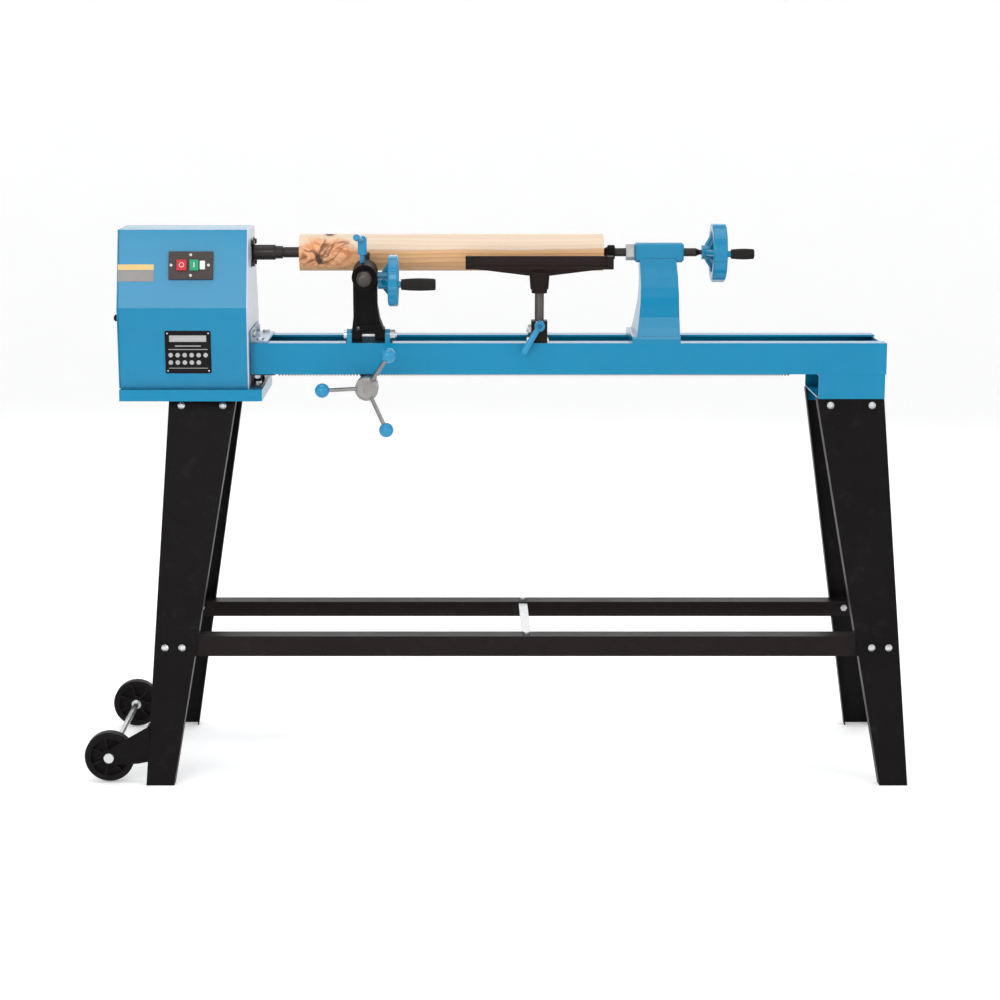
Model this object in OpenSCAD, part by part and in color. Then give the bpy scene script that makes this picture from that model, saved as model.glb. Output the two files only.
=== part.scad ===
// Wood lathe on a pressed-steel stand, with a rack-fed tool carriage.
// Millimetres. X runs along the bed from headstock to tailstock, Y to the back, Z up.
// The origin lies on the floor, at the middle of the machine's outline.

/* [Stand] */
// Height of the leg tops above the floor
stand_h = 765; // [600:5:900]
// Distance over the outer edges of the feet
foot_span = 1532; // [1500:2:1600]
// Distance over the outer edges of the leg tops
top_span = 1443; // [1430:1:1460]
// Width of a leg face at the floor
leg_foot_w = 56; // [50:1:70]
// Width of a leg face at the top
leg_top_w = 135; // [130:1:145]
// Distance front to back over the leg tops
top_depth = 200; // [200:1:210]
// Distance front to back over the feet
foot_depth = 489; // [440:1:560]
// Thickness of the pressed sheet
sheet = 2.5; // [2:0.1:3]
// Width of the lips folded inward along a leg's edges
leg_lip = 26; // [20:1:28]
// Height of the stretchers' lower edge
stretcher_z = 253; // [200:1:300]
// Height of the stretchers
stretcher_h = 41; // [30:1:50]

/* [Transport wheels] */
// Diameter of a transport wheel
wheel_d = 100; // [80:1:104]
// Width of a transport wheel
wheel_w = 28; // [20:1:28]
// How far the wheels reach out past the feet
wheel_overhang = 126; // [120:1:140]
// Distance of each wheel's middle from the centre line
wheel_y = 212; // [205:1:214]
// Diameter of the wheel axle
axle_d = 12; // [10:1:14]

/* [Bed] */
// Height of the bed above the floor
bed_top = 878; // [870:1:890]
// Height of a bed rail
rail_h = 63; // [60:1:66]
// Width over both rails
bed_w = 200; // [200:1:204]
// Width of a rail's flanges
rail_flange = 42; // [40:1:42]
// Thickness of the rails
rail_t = 4; // [3:0.5:5]
// Right end of the rails
bed_right = 787; // [786:1:800]

/* [Headstock] */
// Height of the spindle axis over the bed, half the swing
centre_height = 175; // [170:1:178]
// Width of the headstock along the bed
head_w = 261; // [255:1:265]
// Right face of the headstock
head_right = -494.5; // [-496:0.5:-493]
// Diameter of the spindle nose
nose_d = 31; // [30:0.5:33]
// Diameter of the blank held between centres
blank_d = 75; // [40:1:76]

/* [Carriage] */
// Place of the carriage feed shaft along the bed
feed_x = -258; // [-262:1:-254]
// Module of the feed rack and pinion
feed_m = 2; // [2]
// Teeth on the feed pinion
feed_teeth = 19; // [19]
// Teeth on the feed rack
rack_teeth = 165; // [120:1:165]
// How far the tool arm leans out towards the operator, in degrees
arm_lean = 6; // [3:0.5:8]

/* [Tool rest and tailstock] */
// Place of the tool rest post along the bed
rest_x = 88; // [70:1:100]
// Length of the tool rest
rest_len = 297; // [200:1:300]
// Diameter of the tool rest post
post_d = 18.5; // [16:0.5:20]
// Left edge of the tailstock base
tail_x = 275; // [270:1:300]
// Diameter of the tailstock screw
screw_d = 17; // [16:0.5:18]
// Diameter of the tailstock handwheel
tail_wheel_d = 122; // [110:1:130]
// Diameter of the tool arm handwheel
arm_wheel_d = 105; // [90:1:110]

/* [Hidden] */
$fn = 48;
fit = 0.05;               // radial clearance of a running fit
gap = 0.4;                // clearance between parts that pass each other
hole = 0.4;               // how much wider a bolt hole is than its bolt
blue = "#2f8fc4";
pale_blue = "#5fb4de";
black = "#1d1c1d";
iron = "#3a3a3c";
zinc = "#b9bcc0";
steel = "#8f9297";

stand_x = wheel_overhang / 2;
foot_y = foot_depth / 2;
top_y = top_depth / 2;
leg_lean = atan((foot_y - top_y) / stand_h);
leg_len = stand_h / cos(leg_lean);
stretcher_flange = 45;
stretcher_t = 3;
stretcher_reach = top_span / 2 + 16;
stretcher_bolt_x = [694.5, 728.7];
stretcher_bolt_z = stretcher_z + stretcher_h / 2 - 1;
top_bolt_x = [612.7, 696.5];
top_bolt_z = stand_h - 12.5;
bolt_d = 8;
tongue_y = top_y - 3.2;
tongue_drop = 28;

axle_x = stand_x - foot_span / 2 - wheel_overhang + wheel_d / 2;
axle_z = wheel_d / 2 + 3.3;
bracket_y = wheel_y + wheel_w / 2 + 3;
bracket_t = 4;
bracket_z0 = 45;
bracket_z1 = 119;

rail_y = bed_w / 2;
rail_z = bed_top - rail_h;
gap_y = rail_y - rail_flange;
spindle_z = bed_top + centre_height;
riser_x0 = bed_right - 135.5;
riser_x1 = bed_right - 2;
flange_mid = rail_y - rail_flange / 2;
rail_bolts = [[riser_x0 + 28, flange_mid], [riser_x1 - 26, flange_mid]];

head_left = head_right - head_w;
panel_t = 2.5;
cover_left = head_left + panel_t + 0.7;
tray_x0 = head_left + 1.5;
tray_x1 = head_right + 26.5;
tray_y = 136;
tray_top = stand_h + 23;
head_top = spindle_z + 51.5;
fold_y = -135;
fold_z = 952;
crest_y = -89;
back_y = 135;
panel_tilt = atan((crest_y - fold_y) / (head_top - fold_z));
head_outline = [[fold_y + 13, tray_top], [fold_y, fold_z], [crest_y, head_top],
                [57, head_top], [back_y, 920], [back_y, tray_top]];
head_inside = [[fold_y + 15.2, tray_top - 1], [fold_y + 2.2, fold_z], [crest_y + 1.6, head_top - 2.1],
               [55.6, head_top - 2.1], [back_y - 2.2, 919.6], [back_y - 2.2, tray_top - 1]];
hinge_x = head_left - 2;
hinge_y = back_y + 2;
hinge_z = [806, 880];
hinge_len = 15;
bearing_x = [head_right - 30.5, head_right - 183.5];
frame_t = 20;
spindle_d = 25;
motor_z = 870;
motor_d = 130;
motor_x0 = bearing_x[1] + 2.5;
motor_x1 = motor_x0 + 125;
motor_shaft_d = 14;
pulley_x = head_left + 13;
step_w = 10;
spindle_steps = [46, 38, 30, 22];
motor_steps = [22, 30, 38, 46];
belt_step = 1;
belt_t = 7;
drive_x = head_right + 47;
blank_x0 = drive_x + 50;
blank_x1 = tail_x - 55.5;
switch_x = head_right - 113.5;
switch_w = 88;
switch_h = 56;
switch_up = 85.6;
button_w = [20, 18];
button_h = 22;
button_x = [switch_x - 18, switch_x + 7];

press_angle = 25;
pitch = PI * feed_m;
feed_r = feed_m * feed_teeth / 2;
rack_tip_z = rail_z - 6.5;
feed_z = rack_tip_z + feed_m - feed_r - 0.1;
rack_x0 = feed_x - 29 * pitch;
rack_y = -66;
saddle_x0 = feed_x - 44;
saddle_x1 = feed_x + 50;
saddle_top = bed_top + 8;
pin_y = -88;
pin_z = bed_top + 16;
pin_d = 12;
lug_left = feed_x - 41;
lug_right = feed_x + 46;
lug_t = 10;
arm_x = feed_x - 3;
bar_z = pin_z + 126;
bar_d = 30;
boss_d = 50;
boss_y0 = -138;
boss_y1 = -72;
bar_m = 1;
bar_teeth = 12;
bar_rack_z = bar_z - 7;
drive_y = -100;
drive_z = bar_rack_z - bar_m * bar_teeth / 2 - 0.1;
arm_wheel_x = arm_x + 26;
arm_grip_r = 42;

rest_y = -78;
rest_top = spindle_z - 2;
socket_top = bed_top + 44;
banjo_z = bed_top + 15;
clamp_y = 0;
clamp_bolt_d = 12;

barrel_d = 40;
barrel_x0 = tail_x + 8;
barrel_x1 = tail_x + 108;
nut_x0 = barrel_x0 - 17;
centre_x = nut_x0 - 22.6;
tail_hub_x = tail_x + 145;
tail_grip_r = 50;

// ---- Shared shapes ----

module box(x0, x1, y0, y1, z0, z1) {
    translate([x0, y0, z0]) cube([x1 - x0, y1 - y0, z1 - z0]);
}

module rod_x(x0, x1, d, y, z) {
    translate([x0, y, z]) rotate([0, 90, 0]) cylinder(d = d, h = x1 - x0);
}

module rod_y(y0, y1, d, x, z) {
    translate([x, y0, z]) rotate([-90, 0, 0]) cylinder(d = d, h = y1 - y0);
}

module rod_z(z0, z1, d, x, y) {
    translate([x, y, z0]) cylinder(d = d, h = z1 - z0);
}

module cone_x(x0, x1, d0, d1, y, z) {
    translate([x0, y, z]) rotate([0, 90, 0]) cylinder(d1 = d0, d2 = d1, h = x1 - x0);
}

// Ring around the Z axis, from z0 to z1
module ring_z(z0, z1, d, bore) {
    difference() {
        translate([0, 0, z0]) cylinder(d = d, h = z1 - z0);
        translate([0, 0, z0 - 1]) cylinder(d = bore, h = z1 - z0 + 2);
    }
}

// Section drawn in Y and Z, run along X
module along_x(x0, x1) {
    translate([x0, 0, 0]) rotate([90, 0, 90]) linear_extrude(x1 - x0) children();
}

// Outline drawn in X and Z, run along Y
module along_y(y0, y1) {
    translate([0, y1, 0]) rotate([90, 0, 0]) linear_extrude(y1 - y0) children();
}

module mirrored_y() {
    children();
    mirror([0, 1, 0]) children();
}

module both_ends() {
    children();
    translate([2 * stand_x, 0, 0]) mirror([1, 0, 0]) children();
}

// Hexagon bolt and nut standing on Z; the grip is the space between head and nut
module hex_bolt(d, grip, head = 5, nut = 6) {
    translate([0, 0, grip]) cylinder(d = d * 1.85, h = head, $fn = 6);
    translate([0, 0, -nut - 2]) cylinder(d = d, h = grip + nut + 2);
    translate([0, 0, -nut]) cylinder(d = d * 1.85, h = nut, $fn = 6);
}

// Domed bolt and nut lying on Y, with its head to the front
module dome_bolt(d, head_y, nut_y) {
    rotate([-90, 0, 0]) {
        translate([0, 0, head_y]) cylinder(d = d, h = nut_y - head_y + 8);
        translate([0, 0, head_y - 1.5]) cylinder(d = d * 1.8, h = 1.5);
        translate([0, 0, head_y - 4.5]) cylinder(d1 = d * 0.9, d2 = d * 1.8, h = 3);
        translate([0, 0, nut_y]) cylinder(d = d * 1.85, h = 6, $fn = 6);
    }
}

// ---- Gears: involute pinions and straight racks ----

function roll(r, base) = sqrt(max(0, pow(r / base, 2) - 1));
function involute(r, base) = roll(r, base) * 180 / PI - atan(roll(r, base));
function polar(r, a) = [r * sin(a), r * cos(a)];

function tooth_points(m, n, slack, middle) =
    let (pitch_r = m * n / 2, base = pitch_r * cos(press_angle), tip = pitch_r + m,
         root = pitch_r - 1.25 * m, first = max(base, root),
         half = 90 / n - slack / 2 / pitch_r * 180 / PI + involute(pitch_r, base),
         radii = [for (i = [0:4]) first + (tip - first) * i / 4])
    concat([polar(root, middle - half)],
           [for (r = radii) polar(r, middle - half + involute(r, base))],
           [for (i = [4:-1:0]) polar(radii[i], middle + half - involute(radii[i], base))],
           [polar(root, middle + half)]);

module pinion_outline(m, n, slack) {
    polygon([for (i = [0:n - 1]) each tooth_points(m, n, slack, i * 360 / n)]);
}

// Teeth point down; the first tooth's gap starts at zero and the tips lie at y = 0
module rack_outline(m, n, height) {
    step = PI * m;
    tip = step / 4 - m * tan(press_angle);
    root = step / 4 + 1.25 * m * tan(press_angle);
    depth = 2.25 * m;
    teeth = [for (i = [0:n - 1]) each [[(i + 0.5) * step - root, depth], [(i + 0.5) * step - tip, 0],
                                       [(i + 0.5) * step + tip, 0], [(i + 0.5) * step + root, depth]]];
    polygon(concat([[0, height], [0, depth]], teeth, [[n * step, depth], [n * step, height]]));
}

// ---- Stand ----

function leg_edge(foot, top, v) = foot + (top - foot) * v / leg_len;

// Leg face in its own plane: across, and up the slope
module leg_outline(inset) {
    over = 30;
    outer_foot = foot_span / 2;
    outer_top = top_span / 2;
    polygon([[leg_edge(outer_foot - leg_foot_w, outer_top - leg_top_w, -over) + inset, -over],
             [leg_edge(outer_foot, outer_top, -over) - inset, -over],
             [leg_edge(outer_foot, outer_top, leg_len + over) - inset, leg_len + over],
             [leg_edge(outer_foot - leg_foot_w, outer_top - leg_top_w, leg_len + over) + inset,
              leg_len + over]]);
}

module leg_bolt_holes() {
    for (x = top_bolt_x) rod_y(-foot_y, -top_y / 2, bolt_d + hole, stand_x + x, top_bolt_z);
    for (x = stretcher_bolt_x) rod_y(-foot_y, -top_y, bolt_d + hole, stand_x + x, stretcher_bolt_z);
}

// Right front leg: a tapered face with a lip along each edge, notched where the stretcher enters
module leg() {
    notch_y = -foot_y + (foot_y - top_y) * (stretcher_z + stretcher_h) / stand_h + sheet + 0.6;
    difference() {
        intersection() {
            translate([stand_x, -foot_y, 0]) rotate([90 - leg_lean, 0, 0]) difference() {
                translate([0, 0, -leg_lip]) linear_extrude(leg_lip) leg_outline(0);
                translate([0, 0, -leg_lip - 1]) linear_extrude(leg_lip + 1 - sheet) leg_outline(sheet);
            }
            box(0, foot_span, -foot_depth, 0, 0, stand_h);
        }
        leg_bolt_holes();
        box(stand_x, stand_x + stretcher_reach - leg_foot_w, notch_y, 0,
            stretcher_z - 2, stretcher_z + stretcher_h + 2);
    }
}

module leg_front_right() { color(black) leg(); }
module leg_rear_right() { color(black) mirror([0, 1, 0]) leg(); }
module leg_front_left() { color(black) translate([2 * stand_x, 0, 0]) mirror([1, 0, 0]) leg(); }
module leg_rear_left() {
    color(black) translate([2 * stand_x, 0, 0]) mirror([1, 0, 0]) mirror([0, 1, 0]) leg();
}

stretcher_y = foot_y - (foot_y - top_y) * (stretcher_z + stretcher_h) / stand_h - sheet - 1;

module stretcher() {
    x0 = stand_x - stretcher_reach;
    x1 = stand_x + stretcher_reach;
    z1 = stretcher_z + stretcher_h;
    difference() {
        union() {
            box(x0, x1, -stretcher_y, -stretcher_y + stretcher_t, stretcher_z, z1);
            box(x0, x1, -stretcher_y, -stretcher_y + stretcher_flange, z1 - stretcher_t, z1);
        }
        both_ends() leg_bolt_holes();
        rod_z(stretcher_z, z1 + 1, bolt_d + hole, stand_x, -stretcher_y + stretcher_flange / 2);
    }
}

module stretcher_front() { color(black) stretcher(); }
module stretcher_rear() { color(black) mirror([0, 1, 0]) stretcher(); }

module stretcher_spacer() {
    z1 = stretcher_z + stretcher_h - stretcher_t;
    end_y = stretcher_y - stretcher_t - 1;
    color(zinc) difference() {
        box(stand_x - 9, stand_x + 9, -end_y, end_y, z1 - 5, z1);
        mirrored_y() rod_z(z1 - 6, z1 + 1, bolt_d + hole, stand_x, -stretcher_y + stretcher_flange / 2);
    }
}

module stand_bolts() {
    face_at_top = foot_y - (foot_y - top_y) * top_bolt_z / stand_h + 1.9;
    face_at_rail = foot_y - (foot_y - top_y) * stretcher_bolt_z / stand_h + 1.9;
    color(zinc) mirrored_y() {
        both_ends() {
            for (x = top_bolt_x) translate([stand_x + x, 0, top_bolt_z])
                dome_bolt(bolt_d, -face_at_top, -tongue_y + sheet);
            for (x = stretcher_bolt_x) translate([stand_x + x, 0, stretcher_bolt_z])
                dome_bolt(bolt_d, -face_at_rail, -stretcher_y + stretcher_t);
        }
        translate([stand_x, -stretcher_y + stretcher_flange / 2, stretcher_z + stretcher_h - 8])
            hex_bolt(bolt_d, 8);
    }
}

// ---- Transport wheels ----

// Outer edge of the left legs at a height
function left_edge(z) = stand_x - foot_span / 2 + (foot_span - top_span) / 2 * z / stand_h;

module wheel_bracket() {
    nose_r = 16;
    edge_tilt = atan((foot_span - top_span) / 2 / stand_h);
    difference() {
        union() {
            along_y(-bracket_y - 1, -bracket_y + 2) {
                translate([axle_x, axle_z]) circle(r = nose_r);
                polygon([[left_edge(bracket_z0) - 0.2, bracket_z0], [left_edge(bracket_z1) - 0.2, bracket_z1],
                         [axle_x - 4, axle_z + nose_r - 0.6], [axle_x - 2, axle_z - nose_r + 0.2],
                         [left_edge(bracket_z0) - 20, bracket_z0 - 4]]);
            }
            translate([left_edge(bracket_z0), -bracket_y - 1, bracket_z0])
                rotate([0, edge_tilt, 0]) translate([-bracket_t - 0.2, 0, 0])
                cube([bracket_t, 28, bracket_z1 - bracket_z0]);
        }
        rod_y(-foot_y, -wheel_y, axle_d + 2 * fit, axle_x, axle_z);
    }
}

module wheel_brackets() { color(black) mirrored_y() wheel_bracket(); }

module wheel_axle() {
    color(zinc) {
        rod_y(-bracket_y - 3, bracket_y + 3, axle_d, axle_x, axle_z);
        mirrored_y() {
            rod_y(-bracket_y - 6, -bracket_y - 1, 20, axle_x, axle_z);
            rod_y(-wheel_y + wheel_w / 2 + 0.5, -wheel_y + wheel_w / 2 + 7, 20, axle_x, axle_z);
        }
    }
}

// Plastic wheel with a rim, a web and ribs
module wheel() {
    rim_in = wheel_d - 24;
    hub = 32;
    rotate([90, 0, 0]) difference() {
        union() {
            translate([0, 0, -wheel_w / 2]) rotate_extrude() polygon([
                [rim_in / 2, 0], [wheel_d / 2 - 3, 0], [wheel_d / 2, 3], [wheel_d / 2, wheel_w - 3],
                [wheel_d / 2 - 3, wheel_w], [rim_in / 2, wheel_w]]);
            cylinder(d = rim_in + 4, h = 6, center = true);
            cylinder(d = hub, h = wheel_w - 2, center = true);
            for (i = [0:6]) rotate(i * 360 / 7) translate([hub / 2 - 3, -2, -wheel_w / 2 + 3])
                cube([(rim_in - hub) / 2 + 4, 4, wheel_w - 6]);
        }
        cylinder(d = axle_d + 2 * fit, h = wheel_w + 2, center = true);
    }
}

module wheel_front() { color(black) translate([axle_x, -wheel_y, axle_z]) wheel(); }
module wheel_rear() { color(black) translate([axle_x, wheel_y, axle_z]) wheel(); }

// ---- Bed ----

module rail_bolt_holes() {
    for (p = rail_bolts) rod_z(rail_z - 10, rail_z + 10, bolt_d + hole, p[0], -p[1]);
    rod_z(rail_z - 10, rail_z + 10, bolt_d + hole, head_right + 12, -flange_mid);
    rod_z(bed_top - 10, bed_top + 10, bolt_d + hole, head_right + 20, -flange_mid);
}

// Front rail: a channel that opens to the back
module rail() {
    difference() {
        along_x(head_right + 1, bed_right) polygon([
            [-rail_y, rail_z], [-gap_y, rail_z], [-gap_y, rail_z + rail_t],
            [-rail_y + rail_t, rail_z + rail_t], [-rail_y + rail_t, bed_top - rail_t],
            [-gap_y, bed_top - rail_t], [-gap_y, bed_top], [-rail_y, bed_top]]);
        rail_bolt_holes();
    }
}

module bed_rail_front() { color(blue) rail(); }
module bed_rail_rear() { color(blue) mirror([0, 1, 0]) rail(); }

// Folded box under the right end of the rails, with tongues down inside the legs and a plate between the rails
module bed_riser() {
    t = 3;
    tongue_x0 = stand_x + top_span / 2 - leg_top_w + 7;
    tongue_x1 = stand_x + top_span / 2 - 6;
    color(blue) difference() {
        union() {
            box(riser_x0, riser_x1, -rail_y, rail_y, stand_h, stand_h + t);
            mirrored_y() {
                box(riser_x0, riser_x1, -rail_y, -rail_y + t, stand_h, rail_z);
                box(riser_x0, riser_x1, -rail_y, -gap_y, rail_z - t, rail_z);
                box(tongue_x0, tongue_x1, -tongue_y, -tongue_y + sheet, stand_h - tongue_drop, stand_h + 1);
            }
            box(riser_x1 - t, riser_x1, -gap_y - 1, gap_y + 1, rail_z - t, rail_z);
            box(riser_x1 - t, riser_x1, -gap_y + gap, gap_y - gap, rail_z - 1, rail_z + rail_t + 1);
            box(riser_x1 - t, riser_x1, -rail_y + rail_t + gap, rail_y - rail_t - gap,
                rail_z + rail_t + gap, bed_top - rail_t - gap);
        }
        mirrored_y() {
            rail_bolt_holes();
            leg_bolt_holes();
        }
    }
}

// Stepped bracket that ties the left end of the rails to the headstock tray
module bed_gusset() {
    x0 = head_right + 2;
    x1 = head_right + 50;
    cheek_y = -flange_mid + 42;
    color(blue) difference() {
        union() {
            box(x0, x1, -flange_mid - 12, flange_mid + 12, rail_z - 3, rail_z);
            box(x0, tray_x1 - 4, -flange_mid - 12, flange_mid + 12, tray_top, tray_top + 3);
            mirrored_y() box(x0, tray_x1 - 8, cheek_y, cheek_y + 3, tray_top, rail_z);
        }
        mirrored_y() {
            rail_bolt_holes();
            rod_z(tray_top - 6, tray_top + 6, bolt_d + hole, head_right + 12, -flange_mid + 28);
        }
    }
}

module bed_clamp_plate() {
    color(pale_blue) difference() {
        union() {
            box(head_right + 1, head_right + 36, -rail_y + 5, rail_y - 5, bed_top, bed_top + 4);
            box(head_right + 1, head_right + 4, -rail_y + 5, rail_y - 5, bed_top, bed_top + 24);
        }
        mirrored_y() rail_bolt_holes();
        mirrored_y() rod_x(head_right, head_right + 6, bolt_d + hole, -55, bed_top + 15);
    }
}

module bed_bolts() {
    color(steel) mirrored_y() {
        for (p = rail_bolts) translate([p[0], -p[1], rail_z - 3]) hex_bolt(bolt_d, 3 + rail_t);
        translate([head_right + 12, -flange_mid, rail_z - 3]) hex_bolt(bolt_d, 3 + rail_t);
        translate([head_right + 20, -flange_mid, bed_top - rail_t]) hex_bolt(bolt_d, rail_t + 4);
        translate([head_right + 12, -flange_mid + 28, tray_top - sheet]) hex_bolt(bolt_d, sheet + 3, 5, 5);
        translate([head_right - panel_t, -55, bed_top + 15]) rotate([0, 90, 0])
            hex_bolt(bolt_d, panel_t + 4, 5, 5);
    }
}

module feed_rack() {
    color(iron) translate([rack_x0, 0, rack_tip_z]) along_y(rack_y - 6, rack_y + 6)
        rack_outline(feed_m, rack_teeth, rail_z - rack_tip_z);
}

// ---- Headstock ----

module headstock_tray() {
    t = sheet;
    lip = 16;
    tongue_x0 = stand_x - top_span / 2 + 6;
    tongue_x1 = stand_x - top_span / 2 + leg_top_w - 7;
    color(blue) difference() {
        union() {
            box(tray_x0, tray_x1, -tray_y, tray_y, stand_h, tray_top);
            mirrored_y() box(tongue_x0, tongue_x1, -tongue_y, -tongue_y + t,
                             stand_h - tongue_drop, stand_h + 1);
        }
        box(tray_x0 + t, tray_x1 - t, -tray_y + t, tray_y - t, stand_h + t, tray_top - t);
        box(tray_x0 + lip, head_right - 8, -tray_y + lip, tray_y - lip, tray_top - t - 1, tray_top + 1);
        mirrored_y() translate([2 * stand_x, 0, 0]) mirror([1, 0, 0]) leg_bolt_holes();
        mirrored_y() rod_z(tray_top - 6, tray_top + 6, bolt_d + hole, head_right + 12, -flange_mid + 28);
    }
}

// Frame of reference on the sloping upper front: across, up the slope, and outward
module on_panel(x, up) {
    translate([x, fold_y, fold_z]) rotate([90 - panel_tilt, 0, 0]) translate([0, up, 0]) children();
}

// Sheet folded round the front, top and back
module headstock_cover() {
    color(blue) {
        difference() {
            along_x(cover_left, head_right - panel_t) polygon(head_outline);
            along_x(cover_left - 1, head_right) polygon(head_inside);
            on_panel(switch_x, switch_up) translate([0, 0, -4]) linear_extrude(8)
                square([switch_w - 16, switch_h - 16], center = true);
            rod_y(back_y - 6, back_y + 6, 16 + hole, head_left + 105, 815);
        }
        for (z = hinge_z) {
            rod_z(z, z + hinge_len, 8, hinge_x, hinge_y);
            rod_z(z, z + 2 * hinge_len + 2, 4 - 2 * fit, hinge_x, hinge_y);
            box(hinge_x + 3, hinge_x + 18, back_y, back_y + 1.5, z, z + hinge_len);
        }
    }
}

module headstock_end_panel() {
    color("#cfd3e6") difference() {
        along_x(head_right - panel_t, head_right) polygon(head_outline);
        rod_x(head_right - 5, head_right + 5, 42, 0, spindle_z);
        mirrored_y() rod_x(head_right - 6, head_right + 6, bolt_d + hole, -55, bed_top + 15);
    }
}

// Left end panel, hung at the back so that the belt can be reached
module belt_door() {
    color(blue) {
        difference() {
            along_x(head_left, head_left + panel_t) polygon(head_outline);
            box(head_left - 1, head_left + panel_t + 1, fold_y - 1, back_y + 1, tray_top - 1, tray_top + 1.5);
            for (z = hinge_z) box(head_left - 1, head_left + panel_t + 1, hinge_y - 5, back_y + 1,
                                  z - 0.5, z + hinge_len + 0.25);
        }
        for (z = hinge_z) {
            translate([hinge_x, hinge_y, z + hinge_len + 0.5]) ring_z(0, hinge_len, 8, 4);
            box(hinge_x - 0.5, head_left + 0.5, back_y - 14, hinge_y - 3,
                z + hinge_len + 0.5, z + 2 * hinge_len + 0.5);
        }
    }
}

module door_latch() {
    color(black) {
        rod_x(head_left - 5, head_left, 14, fold_y + 14, 931);
        rod_x(head_left - 7, head_left - 5, 9, fold_y + 14, 931);
    }
}

// Welded frame that carries the spindle and the motor
module spindle_frame() {
    half_y = 45;
    foot_z = stand_h + sheet;
    color(iron) difference() {
        union() {
            for (x = bearing_x) {
                box(x - frame_t + 2.5, x + 2.5, -half_y, half_y, foot_z, spindle_z + 20);
                rod_x(x - frame_t, x + 2.5, 62, 0, spindle_z);
            }
            box(bearing_x[1], bearing_x[0] - 5, half_y - 12, half_y, 960, spindle_z + 20);
            box(bearing_x[1] - frame_t + 2.5, bearing_x[0] + 2.5, -half_y, half_y, foot_z, foot_z + 8);
        }
        rod_x(bearing_x[1] - 40, bearing_x[1] + 10, spindle_d + 2 * fit, 0, spindle_z);
        rod_x(bearing_x[0] - 40, bearing_x[0] + 10, spindle_d + 2 * fit, 0, spindle_z);
        rod_x(bearing_x[1] - 30, bearing_x[1] + 10, 40, 0, motor_z);
    }
}

module bearing_cap() {
    color(black) translate([head_right, 0, spindle_z]) rotate([0, 90, 0])
        ring_z(0, 4, 44, nose_d + 0.8);
}

module spindle() {
    color(iron) difference() {
        union() {
            rod_x(pulley_x - 2, bearing_x[0] + 3, spindle_d, 0, spindle_z);
            rod_x(bearing_x[0] + 3, drive_x, nose_d, 0, spindle_z);
        }
        rod_x(drive_x - 38, drive_x + 1, 16 + 2 * fit, 0, spindle_z);
    }
}

// Stepped pulley with a groove in each step, bored for its shaft
module step_pulley(steps, bore) {
    groove = 2.5;
    rotate([0, 90, 0]) difference() {
        for (i = [0:len(steps) - 1]) translate([0, 0, i * step_w]) rotate_extrude() polygon([
            [bore / 2, 0], [steps[i], 0], [steps[i], 1], [steps[i] - groove, 2.2],
            [steps[i] - groove, step_w - 2.2], [steps[i], step_w - 1], [steps[i], step_w],
            [bore / 2, step_w]]);
    }
}

module spindle_pulley() {
    color(zinc) translate([pulley_x, 0, spindle_z]) step_pulley(spindle_steps, spindle_d + 2 * fit);
}

module motor() {
    color("#4a5560") difference() {
        union() {
            rod_x(motor_x0, motor_x1, motor_d - 8, 0, motor_z);
            rod_x(motor_x0, motor_x0 + 14, motor_d, 0, motor_z);
            rod_x(motor_x1 - 14, motor_x1, motor_d, 0, motor_z);
            for (i = [0:17]) translate([motor_x0 + 14, 0, motor_z]) rotate([i * 20, 0, 0])
                translate([0, -1.5, motor_d / 2 - 6]) cube([motor_x1 - motor_x0 - 28, 3, 5]);
        }
        rod_x(motor_x0 - 1, motor_x1 - 30, motor_shaft_d + 2 * fit, 0, motor_z);
    }
}

// Motor shaft with its stepped pulley
module motor_rotor() {
    color(zinc) {
        rod_x(pulley_x - 2, motor_x1 - 32, motor_shaft_d, 0, motor_z);
        translate([pulley_x, 0, motor_z]) step_pulley(motor_steps, motor_shaft_d - 0.02);
    }
}

// Outline round two pulleys, one above the other
module belt_outline(low_r, high_r) {
    hull() {
        circle(r = low_r);
        translate([0, spindle_z - motor_z]) circle(r = high_r);
    }
}

module drive_belt() {
    low = motor_steps[belt_step] + 0.3;
    high = spindle_steps[belt_step] + 0.3;
    x0 = pulley_x + belt_step * step_w + 1.2;
    color("#2a2a2a") translate([0, 0, motor_z]) along_x(x0, x0 + step_w - 2.4) difference() {
        belt_outline(low + belt_t, high + belt_t);
        belt_outline(low, high);
    }
}

// Spurred centre that drives the blank
module drive_centre() {
    color(black) {
        rod_x(drive_x - 36, drive_x, 16, 0, spindle_z);
        rod_x(drive_x, drive_x + 15.5, 26, 0, spindle_z);
        rod_x(drive_x + 15.5, drive_x + 17, 19, 0, spindle_z);
        rod_x(drive_x + 17, blank_x0, 21.5, 0, spindle_z);
        cone_x(blank_x0, blank_x0 + 6, 6, 1, 0, spindle_z);
    }
}

// Round blank of timber held between the centres
module blank() {
    color("#e6c58f") difference() {
        rod_x(blank_x0, blank_x1, blank_d, 0, spindle_z);
        cone_x(blank_x0 - 0.1, blank_x0 + 7, 7, 1, 0, spindle_z);
        cone_x(blank_x1 - 11, blank_x1 + 1, 1, 15.4, 0, spindle_z);
    }
}

module switch_plate() {
    body_h = 36;
    color(black) difference() {
        on_panel(switch_x, switch_up) {
            translate([-switch_w / 2, -switch_h / 2, 0.2]) cube([switch_w, switch_h, 6]);
            translate([-33, -body_h / 2, -34]) cube([66, body_h, 34.4]);
        }
        for (i = [0:1]) on_panel(button_x[i], switch_up) translate([0, 0, -4]) linear_extrude(12)
            square([button_w[i] + 2 * gap, button_h + 2 * gap], center = true);
    }
}

module push_button(i) {
    on_panel(button_x[i], switch_up) translate([-button_w[i] / 2, -button_h / 2, -0.8])
        cube([button_w[i], button_h, 10]);
}

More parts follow.
